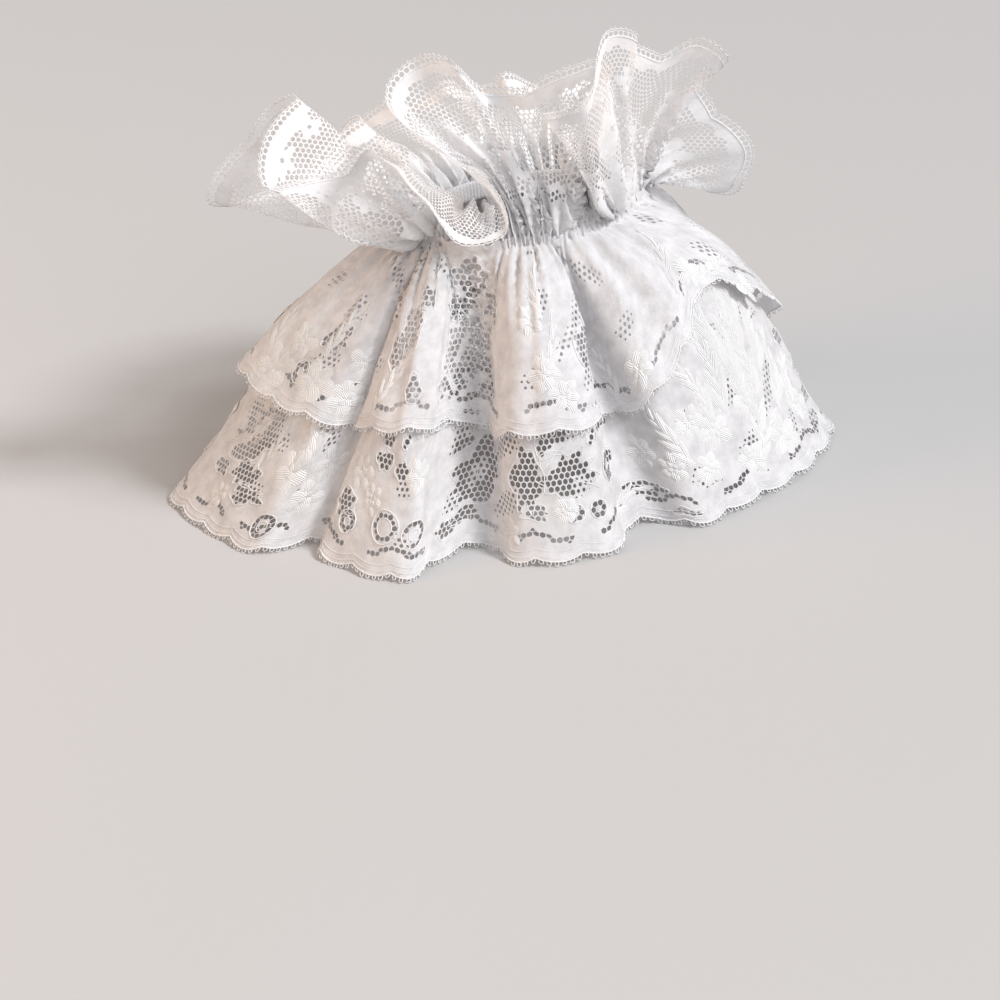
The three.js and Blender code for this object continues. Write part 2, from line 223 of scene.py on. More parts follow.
LONG_WINDOWS = [
    (252, 437, 13, 8.6, 8, 8), (462, 300, 9, 8, 10, 6), (470, 345, 10, 9, -15, 7),
    (460, 392, 9, 8, 20, 6), (494, 372, 6, 8, 0, 5), (600, 370, 6, 9, 15, 5),
    (598, 412, 6, 6, 0, 5), (272, 420, 9, 6, 0, 6), (222, 468, 5.5, 3, 0, 4),
    (246, 473, 9, 4.2, 0, 6), (246, 495, 8, 3.6, 0, 5), (346, 500, 4.6, 5.6, 0, 5),
    (391, 436, 3.8, 3.6, 0, 5), (405, 441, 2.2, 2.3, 0, 4), (385, 463, 4.2, 3.4, 0, 5),
    (402, 474, 3.4, 3.4, 0, 4), (463, 442, 6.6, 2.6, 0, 5), (480, 470, 11, 9.6, 30, 7),
    (463, 513, 5, 2.9, 10, 5), (444, 532, 5.4, 3, 0, 5), (552, 443, 8, 4.5, 10, 5),
    (526, 476, 5.6, 11, 8, 6), (570, 477, 10.5, 8, 0, 7), (533, 515, 5, 2.8, 0, 5),
    (594, 436, 2.6, 2.2, 0, 4), (609, 465, 6.5, 5.2, 0, 5), (642, 485, 9.5, 2.6, 0, 7),
    (684, 512, 5.5, 1.6, 0, 5), (778, 335, 4.2, 3.4, 0, 4), (794, 362, 4.2, 3.4, 0, 4),
    (806, 392, 4, 3.8, 0, 4), (812, 420, 4.4, 4.5, 0, 5),
]
# Leaves of clothwork that lie in the windows: x, y, length, width, tilt
LONG_LEAVES = [
    (554, 460, 12, 4.8, 38), (480, 470, 9, 2.4, 70), (240, 436, 13, 3.6, 20),
    (262, 424, 11, 3.4, 55), (586, 486, 10, 3.2, -30), (609, 465, 6, 2, -15),
]
SHORT_LEAVES = [(462, 345, 9, 2.4, 60), (450, 381, 7, 1.8, -70)]
# Flowers with a ring of larger holes: x, y, radius
LONG_FLOWERS = [
    (384, 528, 3.9), (416, 536, 2.9), (263, 528, 3), (348, 519, 2.4),
    (573, 513, 1.7), (600, 510, 1.6),
]
SHORT_FLOWERS = [(352, 395, 2.4), (300, 372, 2.4)]
# Sprigs of clothwork on the heading's net: x, y, size, turn
HEADING_SPRIGS = [
    (282, 164, 5, 15), (246, 178, 4.5, 50), (330, 196, 4.5, 60), (372, 204, 4.5, 10),
    (312, 128, 4.5, 20), (470, 150, 7, 40), (455, 168, 5, 0), (416, 164, 3.5, 70),
    (508, 168, 6, 30), (546, 128, 5, 10), (588, 96, 4, 0), (612, 130, 9, 30),
    (628, 84, 6, 50), (676, 112, 7, 0), (664, 158, 9, 20), (620, 180, 8, 50),
]
# Roses of satin stitch, low and overlapping: x, y, size in mm and turn in degrees
LONG_ROSES = [
    (292, 470, 12, 20), (330, 462, 10, 0), (306, 500, 10, 40), (218, 494, 8, 0),
    (364, 470, 10, 10), (372, 500, 8, 40), (420, 478, 9, 0), (566, 508, 7, 0),
    (512, 532, 8, 20), (640, 452, 9, 0), (716, 428, 10, 15), (782, 432, 12, 30),
    (706, 468, 9, 0), (752, 460, 9, 50), (688, 424, 9, 60), (742, 396, 10, 0),
    (800, 404, 9, 10), (670, 470, 8, 30),
]
SHORT_ROSES = [
    (276, 366, 13, 20), (310, 384, 12, 0), (346, 398, 10, 40), (306, 340, 10, 10),
    (366, 360, 9, 30), (540, 372, 9, 0), (528, 322, 8, 20), (564, 396, 8, 50),
    (636, 372, 9, 20), (688, 270, 9, 0), (744, 284, 9, 40),
]
# Leafy sprays of satin stitch: x, y, length in mm, turn in degrees and leaves
LONG_SPRAYS = [
    (722, 316, 26, 80, 11), (752, 336, 24, 60, 11), (700, 350, 24, 100, 11),
    (734, 366, 26, 75, 11), (774, 372, 22, 60, 9), (698, 392, 20, 110, 9), (758, 404, 20, 70, 9),
    (672, 440, 18, 120, 9), (726, 292, 22, 70, 11), (748, 366, 22, 85, 11),
    (716, 372, 24, 95, 11), (790, 388, 18, 60, 9), (712, 336, 24, 88, 11), (764, 440, 16, 40, 7),
    (320, 440, 18, 110, 9), (270, 452, 16, 70, 7), (356, 446, 15, 90, 7), (620, 500, 14, 20, 7),
]
SHORT_SPRAYS = [
    (286, 322, 16, 100, 7), (340, 330, 16, 80, 7), (384, 388, 14, 60, 7), (536, 292, 15, 90, 7),
    (552, 348, 15, 70, 7), (664, 262, 16, 50, 9), (612, 380, 14, 100, 7), (712, 268, 16, 30, 7),
]
# A rose's rings of petals: how many, and their place, half length and half width as shares of its size
ROSE_RINGS = ((6, 0.36, 0.25, 0.21), (4, 0.15, 0.16, 0.13))
# A satin petal: how high its middle is and how deep its edge lies in the lace, and its mesh
PETAL_RISE, PETAL_TUCK = 0.34, 0.04
PETAL_RINGS = (0.4, 0.75, 1.0)
PETAL_SIDES = 16
# How pointed a petal is, and how its threads shift from petal to petal and stretch along it
PETAL_TIP, THREAD_SHIFT, THREAD_STRETCH = 0.4, 3.7, 0.2

# The elastic's casing: ribs and their depth, points round it and its section, and share of the height
CASING_RIBS, CASING_RIB_DEPTH = 150, 0.16
CASING_AROUND, CASING_SECTION, CASING_HEIGHT = 1200, 12, 0.96

# The surface that all the white thread has
THREAD_SURFACE = {
    "Roughness": 0.78, "Sheen Weight": 0.25, "Sheen Roughness": 0.5, "Specular IOR Level": 0.35
}

elastic_low, elastic_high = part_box("wrist_elastic")
WRIST_X, WRIST_Y = [(elastic_low[i] + elastic_high[i]) / 2 / MM for i in (0, 1)]
CINCH_FRONT = (WRIST_X, WRIST_Y - WRIST_DEPTH / 2, CINCH_HEIGHT)


def smooth_step(low, high, value):
    w = np.clip((value - low) / (high - low), 0, 1)
    return w * w * (3 - 2 * w)


def unit(vectors):
    return vectors / np.maximum(np.linalg.norm(vectors, axis=1), 1e-9)[:, None]


def closed_spline(points, place, centripetal):
    """A smooth closed curve through the rows of points, read at places from 0 to 1."""
    points = np.asarray(points, float)
    count = len(points)
    scaled = np.mod(place, 1) * count
    index = np.floor(scaled).astype(int) % count
    w = (scaled - np.floor(scaled))[:, None]
    p0, p1, p2, p3 = (points[(index + k) % count] for k in (-1, 0, 1, 2))
    if centripetal:
        d0, d1, d2 = (
            np.maximum(np.linalg.norm(b - a, axis=1), 1e-6)[:, None] ** 0.5
            for a, b in ((p0, p1), (p1, p2), (p2, p3))
        )
        t1 = ((p1 - p0) / d0 - (p2 - p0) / (d0 + d1) + (p2 - p1) / d1) * d1
        t2 = ((p2 - p1) / d1 - (p3 - p1) / (d1 + d2) + (p3 - p2) / d2) * d1
    else:
        t1, t2 = (p2 - p0) / 2, (p3 - p1) / 2
    return p1 + t1 * w + (-3 * p1 + 3 * p2 - 2 * t1 - t2) * w**2 + (2 * p1 - 2 * p2 + t1 + t2) * w**3


def with_back_folds(front, start, end, folds, middle_x, width, depth, inset, ridge, furrow):
    """The front rows, then even ridges and furrows round the back."""
    rows = list(front)
    for i in range(2 * folds + 1):
        is_ridge = i % 2 == 1
        scale = 1 if is_ridge else inset
        cinch = start + (end - start) * i / (2 * folds)
        a = math.radians(cinch)
        x = middle_x + scale * width / 2 * math.sin(a)
        y = -scale * depth / 2 * math.cos(a)
        rows.append((cinch, x, y, *(ridge if is_ridge else furrow)))
    return np.array(rows, float)


class GatheredStrip:
    """Fold lines joined by smooth curves; across runs from 0 at the wrist line to 1 at the free edge."""

    def __init__(self, rows, edge_z, bow, seam_height):
        self.count = len(rows)
        self.first = rows[0, CINCH]
        self.edge = np.column_stack([rows[:, X], rows[:, Y], edge_z])
        self.slip = (rows[:, CINCH] - self.first - 360 * np.arange(self.count) / self.count)[:, None]
        self.bow = np.asarray(bow, float)[:, None]
        self.seam_height = seam_height
        outside = ELASTIC_WALL + SEAM_GAP + LACE_WALL / 2
        self.half_width = WRIST_WIDTH / 2 + outside
        self.half_depth = WRIST_DEPTH / 2 + outside

    def point(self, place, across):
        a = np.radians(self.first + 360 * place + closed_spline(self.slip, place, False)[:, 0])
        seam = np.column_stack(
            [self.half_width * np.sin(a), -self.half_depth * np.cos(a), np.full(len(a), self.seam_height)]
        )
        chord = closed_spline(self.edge, place, True) - seam
        level = np.hypot(chord[:, 0], chord[:, 1])
        belly = unit(np.column_stack([chord[:, :2] / level[:, None] * -chord[:, 2:], level]))
        inside = np.clip(across, 0, 1)
        bow = BOW_SCALE * inside * (1 - inside) ** 2 * closed_spline(self.bow, place, False)[:, 0]
        fade = np.clip(1 - inside / GATHER_END, 0, 1) * np.minimum(1, inside / GATHER_FULL)
        bow = bow + GATHER_DEPTH * np.cos(TAU * place * self.count) * fade
        return seam + chord * across[:, None] + belly * bow[:, None]

    def line_length(self, place):
        steps = [self.point(place, np.full(len(place), k / LINE_STEPS)) for k in range(LINE_STEPS + 1)]
        return sum(np.linalg.norm(b - a, axis=1) for a, b in zip(steps, steps[1:]))


def normals(surface, place, across, step=SLOPE_STEP):
    """Unit normals that point out of the cuff on a flounce, and inwards and up on the heading."""
    along = surface(place + step, across) - surface(place - step, across)
    far, near = np.minimum(across + SLOPE_STEP, 1), np.maximum(across - SLOPE_STEP, 0)
    down = surface(place, far) - surface(place, near)
    return unit(np.cross(down, along))


flounce_rows = with_back_folds(FLOUNCE_FOLDS, **FLOUNCE_BACK)
heading_rows = with_back_folds(HEADING_FOLDS, **HEADING_BACK)
long_strip = GatheredStrip(
    flounce_rows, np.zeros(len(flounce_rows)), flounce_rows[:, BOW], CINCH_HEIGHT - SEAM_OFFSET
)
heading_strip = GatheredStrip(
    heading_rows, CINCH_HEIGHT + heading_rows[:, HEADING_HEIGHT], heading_rows[:, HEADING_BOW],
    CINCH_HEIGHT + SEAM_OFFSET,
)


def flounce_column(column, place):
    return closed_spline(flounce_rows[:, column, None], place, False)[:, 0]


def short_depth(place):
    return flounce_column(REACH, place)


def short_share(place):
    """How far down the long flounce the short one reaches."""
    return short_depth(place) / long_strip.line_length(place)


def short_surface(place, across):
    """The short flounce lies on the long one and follows its folds."""
    down = across * short_share(place)
    closest = LACE_WALL + LAYER_GAP
    stand = np.maximum(flounce_column(STAND, place) - closest, 0)
    proud = closest + stand * np.clip(across, 0, 1) ** STAND_POWER
    normal = normals(long_strip.point, place, down, LAYER_SMOOTHING)
    return long_strip.point(place, down) + normal * proud[:, None]


def gathers(place, down, length, pleats, fullness):
    """Fine pleats at the wrist line that run together into wider ones and die out down the strip."""
    drift = 1.1 * np.sin(TAU * 5 * place + 1) + 0.8 * np.sin(TAU * 12 * place + 4 * down)
    fine_count, wide_count = pleats
    fine = np.cos(TAU * fine_count * place + drift)
    wide = np.cos(TAU * wide_count * place + 1.4 * drift + 2.5 * down)
    squeezed = np.sqrt(1 - (0.2 + 0.8 * np.clip(down, 0, 1)) ** 2)
    fine_share = 1 - smooth_step(FINE_PLEATS_DEEP, FINE_PLEATS_END, down)
    fine_depth = FINE_PLEAT_DEPTH * length / fine_count * squeezed * fine_share
    fine_depth = fine_depth * (0.65 + 0.35 * smooth_step(0, FINE_PLEATS_DEEP, down))
    uneven = 0.75 + 0.25 * np.sin(TAU * 9 * place + 2)
    wide_share = smooth_step(*WIDE_PLEATS_BEGIN, down) * (1 - smooth_step(*WIDE_PLEATS_END, down))
    wide_depth = WIDE_PLEAT_DEPTH * length / wide_count * squeezed * uneven * wide_share
    return fullness * (fine_depth * (fine + 0.6) + wide_depth * wide)


def fullness_at(place, front, back, begins, ends):
    """The strips hang in smooth folds in front and are evenly gathered round the back."""
    turn = np.mod(place, 1)
    share = smooth_step(*begins, turn) * (1 - smooth_step(*ends, turn))
    return front + (back - front) * share


def crinkle(s, t):
    """The slow unevenness of lace that has been handled."""
    slow = np.sin(s / 5.3 + 1.3 * np.sin(t / 9)) * np.sin(t / 7.1 + 0.8 * np.sin(s / 11))
    return CRINKLE_SLOW * slow + CRINKLE_FINE * np.sin(s / 2.9 + t / 4.3 + 1.1 * np.sin(s / 8.7))


def camera_axes():
    """The photograph's viewing directions: ahead, to the right and up in the picture."""
    ahead = np.array([0, math.cos(ELEVATION), -math.sin(ELEVATION)])
    upright = np.array([0, math.sin(ELEVATION), math.cos(ELEVATION)])
    level = np.array([1.0, 0, 0])
    right = level * math.cos(ROLL) - upright * math.sin(ROLL)
    up = level * math.sin(ROLL) + upright * math.cos(ROLL)
    return ahead, right, up


def in_picture(points):
    """Where points lie in the photograph, in pixels, and how far off they are."""
    ahead, right, up = camera_axes()
    offset = points - np.array(CINCH_FRONT)
    away = DISTANCE + offset @ ahead
    scale = DISTANCE / away / PIXEL
    return CINCH_FRONT_X + offset @ right * scale, CINCH_FRONT_Y - offset @ up * scale, away


# Hexagonal cells: whole-number steps of half a pitch along and a third of a row across
CORNERS = np.array([(1, 1), (0, 2), (-1, 1), (-1, -1), (0, -2), (1, -1)])


class FlatLace:
    """One strip of lace: its flat layout, and how the flat layout is folded."""

    def __init__(self, name, surface, depth, down_share, outward, fullness, pleats, pitch,
                 scallop, scallop_depth, lift):
        self.name, self.surface, self.depth, self.outward = name, surface, depth, outward
        self.down_share, self.fullness, self.pleats = down_share, fullness, pleats
        self.places = np.linspace(0, 1, EDGE_STEPS + 1)
        edge = surface(self.places, np.ones(len(self.places)))
        steps = np.linalg.norm(np.diff(edge, axis=0), axis=1)
        self.lengths = np.concatenate([[0], np.cumsum(steps)])
        self.length = self.lengths[-1]
        self.around = round(self.length / pitch)
        self.step_s = self.length / self.around / 2
        self.step_t = pitch / (2 * math.sqrt(3))
        self.scallops = round(self.length / scallop)
        self.scallop_depth, self.lift = scallop_depth, lift
        self.cells()

    def place_of(self, s):
        turns = np.floor(s / self.length)
        return turns + np.interp(s - turns * self.length, self.lengths, self.places)

    def apart(self, s, centre):
        """How far along s lies from a centre, the shorter way round."""
        return np.mod(s - centre + self.length / 2, self.length) - self.length / 2

    def edge_dip(self, s):
        wave = np.abs(np.sin(math.pi * self.scallops * s / self.length)) ** SCALLOP_ROUNDNESS
        return self.lift + self.scallop_depth * (1 - wave)

    def folded(self, s, t, proud=0.0):
        """The flat points s, t on the folded strip, proud of it by some millimetres."""
        place = self.place_of(s)
        depth = self.depth(place)
        dipped = t + self.edge_dip(s) * np.clip(1 - t / SCALLOP_FADE, 0, 1)
        past_seam = np.maximum(dipped - depth, 0)
        across = np.maximum(1 - dipped / depth, 0)
        normal = self.outward * normals(self.surface, place, np.clip(across, 0, 1))
        down = across * self.down_share(place)
        pleat = gathers(place, down, self.length, self.pleats, fullness_at(place, **self.fullness))
        lift = proud + pleat + crinkle(s, t) * smooth_step(*CRINKLE_BEGINS, across)
        point = self.surface(place, across) + normal * lift[:, None]
        point[:, 2] += self.outward * past_seam
        point[:, 2] = np.maximum(point[:, 2], LACE_OVER_FLOOR)
        return point + np.array([WRIST_X, WRIST_Y, 0])

    def cells(self):
        """The net's cells, how far the gathers squeeze each, and where each shows in the photograph."""
        deepest = self.depth(self.places).max() + SEAM_OVERLAP
        rows = int(deepest / (3 * self.step_t)) + 2
        i, j = (a.ravel() for a in np.indices((self.around, rows)))
        column, level = 2 * i + j % 2, 3 * j
        depth = self.depth(self.place_of(column * self.step_s)) + SEAM_OVERLAP
        kept = level * self.step_t < depth + self.step_t
        self.column, self.level, self.cell_depth = column[kept], level[kept], depth[kept]
        self.s, self.t = self.column * self.step_s, self.level * self.step_t
        place = self.place_of(self.s)
        across = np.clip(1 - self.t / self.depth(place), 0, 1)
        gap = self.surface(place + SQUEEZE_STEP, across) - self.surface(place - SQUEEZE_STEP, across)
        run = np.interp(np.mod(place, 1), self.places[:-1], np.diff(self.lengths) * EDGE_STEPS)
        self.squeeze = np.linalg.norm(gap, axis=1) / (2 * SQUEEZE_STEP * run)
        self.x, self.y, self.away = in_picture(self.folded(self.s, self.t))

    def seen_at(self, x, y):
        """The flat place of the lace nearest the camera at a pixel of the photograph."""
        apart = np.hypot(self.x - x, self.y - y)
        near = apart < max(3, apart.min() + 0.5)
        best = np.argmin(np.where(near, self.away, np.inf))
        return self.s[best], self.t[best]

    def placed(self, motifs):
        """Motifs, each with the flat place of its pixel instead of the pixel."""
        return [(*self.seen_at(x, y), *sizes) for x, y, *sizes in motifs]

    def hidden_stretch(self, start, count):
        """Evenly spaced s from a place at the back to the strip's end."""
        low = np.interp(start, self.places, self.lengths)
        return [low + (self.length - low) * (k + 0.5) / count for k in range(count)]


def new_object(name, data):
    made = bpy.data.objects.new(name, data)
    bpy.context.scene.collection.objects.link(made)
    return made


def mesh_object(name, points, faces, flat):
    """An object from points in millimetres and groups of faces; flat goes with each point."""
    mesh = bpy.data.meshes.new(name)
    mesh.vertices.add(len(points))
    mesh.vertices.foreach_set("co", (points * MM).astype(np.float32).ravel())
    corners = np.concatenate([f.ravel() for f in faces])
    sizes = np.concatenate([np.full(len(f), f.shape[1]) for f in faces])
    mesh.loops.add(len(corners))
    mesh.loops.foreach_set("vertex_index", corners.astype(np.int32))
    mesh.polygons.add(len(sizes))
    starts = np.concatenate([[0], np.cumsum(sizes)[:-1]])
    mesh.polygons.foreach_set("loop_start", starts.astype(np.int32))
    mesh.polygons.foreach_set("use_smooth", np.ones(len(sizes), bool))
    attribute = mesh.attributes.new("flat", "FLOAT_VECTOR", "POINT")
    flat3 = np.column_stack([flat, np.zeros(len(flat))])
    attribute.data.foreach_set("vector", flat3.astype(np.float32).ravel())
    mesh.update(calc_edges=True)
    mesh.validate()
    return new_object(name, mesh)


def flat_area(flat, faces):
    """The area of faces in the flat layout, in square metres; a face over the strip's end is left out."""
    total = 0
    for group in faces:
        s, t = flat[group, 0], flat[group, 1]
        twice = (s * np.roll(t, -1, axis=1) - np.roll(s, -1, axis=1) * t).sum(axis=1)
        total += np.abs(twice[np.ptp(s, axis=1) < WIDEST_FACE]).sum() / 2
    return total * MM * MM


def lace_mesh(lace, pattern):
    """The strip's net and clothwork as one sheet."""
    share, cloth = pattern(lace.s, lace.t)
    hole = share * np.clip((lace.squeeze - CLOSED_BELOW) / (OPEN_ABOVE - CLOSED_BELOW), 0, 1)
    last_net = lace.cell_depth - SEAM_OVERLAP - SEAM_CLOTH
    is_open = (cloth > 0) & (hole > SMALLEST_HOLE) & (lace.t < last_net)

    column = (lace.column[:, None] + CORNERS[:, 0]) % (2 * lace.around)
    level = lace.level[:, None] + CORNERS[:, 1]
    keys = column * (np.ptp(level) + 1) + level - level.min()
    _, first, corner = np.unique(keys.ravel(), return_index=True, return_inverse=True)
    corner = corner.reshape(keys.shape)
    step = np.array([lace.step_s, lace.step_t])
    outer = np.column_stack([column.ravel(), level.ravel()])[first] * step
    outer[:, 1] = np.clip(outer[:, 1], 0, lace.depth(lace.place_of(outer[:, 0])) + SEAM_OVERLAP)

    # Inner corners of the open cells, drawn back to the edge of the clothwork where they reach into it
    middle = np.column_stack([lace.s, lace.t])[is_open][:, None]
    inner = middle + CORNERS * step * hole[is_open][:, None, None]
    cloth_in = pattern(*inner.reshape(-1, 2).T)[1].reshape(inner.shape[:2])
    cloth_mid = cloth[is_open][:, None]
    back = np.where(cloth_in < 0, cloth_mid / np.maximum(cloth_mid - cloth_in, 1e-6), 1)
    inner = middle + (inner - middle) * back[:, :, None]
    inner[:, :, 1] = np.maximum(inner[:, :, 1], HOLE_TO_EDGE)

    rim = len(outer) + np.arange(len(inner) * 6).reshape(-1, 6)
    ring = corner[is_open]
    faces = []
    for k in range(6):
        after = (k + 1) % 6
        faces.append(np.stack([ring[:, k], ring[:, after], rim[:, after], rim[:, k]], axis=1))
    solid = corner[~is_open]
    faces += [solid[:, [0, 1, 2, 3]], solid[:, [3, 4, 5, 0]]]
    flat = np.concatenate([outer, inner.reshape(-1, 2)])
    made = mesh_object(lace.name, lace.folded(*flat.T), faces, flat)
    return made, flat_area(flat, faces)


def tube_faces(start, count, sides, closed=True):
    """Faces between the lines of a tube, each of count points, from the point with the number start."""
    here = np.arange(count if closed else count - 1)
    after = (here + 1) % count
    faces = []
    for k in range(sides):
        low, high = start + k * count, start + (k + 1) % sides * count
        faces.append(np.stack([low + here, low + after, high + after, high + here], axis=1))
    return np.concatenate(faces)


def cord_mesh(name, lace, paths, sides=4):
    """Raised cords on a strip. Each path has its flat points, its radius and whether it is closed."""
    all_points, all_faces, all_flat, begin = [], [], [], 0
    flat = np.concatenate([path for path, _, _ in paths])
    radii = np.concatenate([np.full(len(path), radius) for path, radius, _ in paths])
    centres = lace.folded(*flat.T)
    ups = unit(lace.folded(*flat.T, 0.5) - centres)
    centres = centres + ups * (CORD_SEAT * radii)[:, None]
    for path, radius, closed in paths:
        count = len(path)
        centre, up = centres[begin:begin + count], ups[begin:begin + count]
        if closed:
            ahead = np.roll(centre, -1, axis=0) - np.roll(centre, 1, axis=0)
        else:
            ahead = np.gradient(centre, axis=0)
        side = unit(np.cross(ahead, up))
        for k in range(sides):
            a = TAU * k / sides
            ring = centre + radius * (math.cos(a) * side + math.sin(a) * up)
            ring[:, 2] = np.maximum(ring[:, 2], CORD_OVER_FLOOR)
            all_points.append(ring)
            all_flat.append(path)
        all_faces.append(tube_faces(sides * begin, count, sides, closed))
        begin += count
    points, faces, flat = (np.concatenate(parts) for parts in (all_points, all_faces, all_flat))
    return mesh_object(name, points, [faces], flat)


def triangle_wave(x):
    """From -1 to 1 and back over each whole step of x."""
    return 4 * np.abs(x - np.floor(x + 0.5)) - 1


def turned(ds, dt, tilt):
    """Flat offsets, read in axes that are turned by tilt degrees."""
    c, n = math.cos(math.radians(tilt)), math.sin(math.radians(tilt))
    return ds * c + dt * n, -ds * n + dt * c


def tooth_edge(angle, teeth, turn):
    """The jagged edge that leaf tips leave round a window, as a share of its half size."""
    tips = triangle_wave(teeth * (angle + 0.3 * np.sin(2 * angle + 3 * turn)) / TAU + turn)
    depth = 0.17 + 0.09 * np.sin(angle + 7 * turn)
    sway = 0.08 * np.sin(2 * angle + 5 * turn) + 0.04 * np.sin(3 * angle + 2 * turn)
    return 0.79 + depth * tips + sway


class FlounceLace:
    """How wide a flounce's holes are, and a field that is above 0 in net and below it in clothwork."""

    def __init__(self, lace, windows, leaves, flowers, roses, sprays):
        self.lace = lace
        self.petals = [petal for motif in lace.placed(roses) for petal in rose(*motif)]
        self.petals += [leaf for motif in lace.placed(sprays) for leaf in spray(*motif)]
        self.windows, self.leaves = lace.placed(windows), lace.placed(leaves)
        self.flowers = lace.placed(flowers)
        self.repeats = round(lace.length / MOTIF_REPEAT)
        reach = float(np.mean(lace.depth(lace.places)))
        # The same motifs over and over round the back, turned a little each time
        for k, s in enumerate(lace.hidden_stretch(FLOUNCE_HIDDEN, BACK_MOTIFS)):
            swing = 20 * (-1) ** k
            self.windows.append((s, 0.36 * reach, 7.5, 6.5, swing, 7))
            self.windows.append((s + 14, 0.6 * reach, 5, 6.5, -15, 6))
            self.leaves.append((s, 0.36 * reach, 9, 2.8, 50))
            self.flowers.append((s + 13, 0.22 * reach, 2.9))
            self.petals += rose(s - 12, 0.3 * reach, 12, 25 * k) + rose(s + 15, 0.38 * reach, 10, 40 * k)
            self.petals += spray(s + 4, 0.55 * reach, 20, 70 + swing, 9)

    def ladder(self, s, t):
        """The chain of large holes that runs over the hem band in arcs."""
        turn = math.pi * self.repeats * 2 * s / self.lace.length
        height = HEM_BAND + LADDER_LOW + LADDER_RISE * (1 - np.abs(np.sin(turn)))
        arcs = 0.55 + np.cos(2 * turn + 0.8 * np.sin(s / 31))
        return np.minimum(LADDER_HALF - np.abs(t - height), 3 * arcs)

    def __call__(self, s, t):
        net = np.full(len(s), -FAR)
        hole = np.full(len(s), NET_HOLE)
        for k, (centre, height, half_width, half_height, tilt, teeth) in enumerate(self.windows):
            x, y = turned(self.lace.apart(s, centre), t - height, tilt)
            x, y = x / half_width, y / half_height
            inside = tooth_edge(np.arctan2(y, x), teeth, WINDOW_TURN * k) - np.hypot(x, y)
            net = np.maximum(net, inside * min(half_width, half_height))
        for centre, height, leaf_length, leaf_width, tilt in self.leaves:
            x, y = turned(self.lace.apart(s, centre), t - height, tilt)
            along = np.clip(np.abs(x) / (leaf_length / 2), 0, 1)
            half = leaf_width / 2 * (1 - along**2) ** 0.8 * (1 + 0.15 * triangle_wave(5 * along))
            net = np.minimum(net, np.where(along < 1, np.abs(y) - half, FAR))
        for centre, height, radius in self.flowers:
            rho = np.hypot(self.lace.apart(s, centre), t - height)
            ring = RING_HALF - np.abs(rho - radius)
            hole = np.where(ring > net, LADDER_HOLE, hole)
            net = np.maximum(net, ring)
        patches = np.sin(s / 6.1 + 1.9 * np.sin(t / 7.3)) * np.sin(t / 5.2 + 1.7 * np.sin(s / 9.7 + 1))
        gauze = np.where(t > HEM_BAND + GAUZE_HEIGHT, 4 * (patches - GAUZE_LEVEL), -FAR)
        hole = np.where(gauze > net, GAUZE_HOLE * (0.62 + 0.6 * np.clip(gauze, 0, 1)), hole)
        net = np.maximum(net, gauze)
        ladder = self.ladder(s, t)
        hole = np.where(ladder > net, LADDER_HOLE, hole)
        return hole, np.maximum(net, ladder)

    def outlines(self):
        """Fine cords round the windows, leaves and flowers."""
        paths = []
        for k, (centre, height, half_width, half_height, tilt, teeth) in enumerate(self.windows):
            count = max(16, int(5 * (half_width + half_height)) // 2 * 2)
            around = np.linspace(0, TAU, count, endpoint=False)
            edge = tooth_edge(around, teeth, WINDOW_TURN * k) + WINDOW_CORD
            x, y = half_width * edge * np.cos(around), half_height * edge * np.sin(around)
            ds, dt = turned(x, y, -tilt)
            paths.append((np.column_stack([centre + ds, height + dt]), FINE_CORD, True))
        for centre, height, leaf_length, _, tilt in self.leaves:
            x = np.linspace(-leaf_length / 2, leaf_length / 2, 12)
            ds, dt = turned(x, 0.3 * np.sin(x / 2), -tilt)
            paths.append((np.column_stack([centre + ds, height + dt]), FINE_CORD, False))
        for centre, height, radius in self.flowers:
            outer, inner = radius + RING_CORD, radius - RING_CORD
            paths.append(ring_path(centre, height, outer, outer, 1.3 * FINE_CORD))
            paths.append(ring_path(centre, height, inner, inner, FINE_CORD))
        return paths


def rose(s, t, size, turn):
    """Two rings of round petals: each one's place, half length, half width and tilt."""
    petals = []
    for count, reach, half_length, half_width in ROSE_RINGS:
        for k in range(count):
            tilt = turn + 360 * k / count + 11 * math.sin(5 * k + turn)
            away = size * reach * (1 + 0.12 * math.sin(3 * k + s))
            ds, dt = turned(away, 0, -tilt)
            petals.append((s + ds, t + dt, half_length * size, half_width * size, tilt))
    return petals


def spray(s, t, length, turn, count):
    """Slim leaves on both sides of a bent stem, shorter towards its tip."""
    petals = []
    bend = 26 * math.sin(s + turn)
    for k in range(count):
        along = k / (count - 1)
        heading = math.radians(turn + bend * (along - 0.5))
        side = 0 if k == count - 1 else (21 + 8 * math.sin(2.7 * k + s)) * (-1) ** k
        leaf = length * (0.25 - 0.1 * along + 0.03 * math.sin(4.1 * k + t))
        lean = heading + math.radians(side)
        ds = length * (along - 0.5) * math.cos(heading) + 0.8 * leaf * math.cos(lean)
        dt = length * (along - 0.5) * math.sin(heading) + 0.8 * leaf * math.sin(lean)
        petals.append((s + ds, t + dt, leaf, 0.3 * leaf, math.degrees(lean)))
    return petals


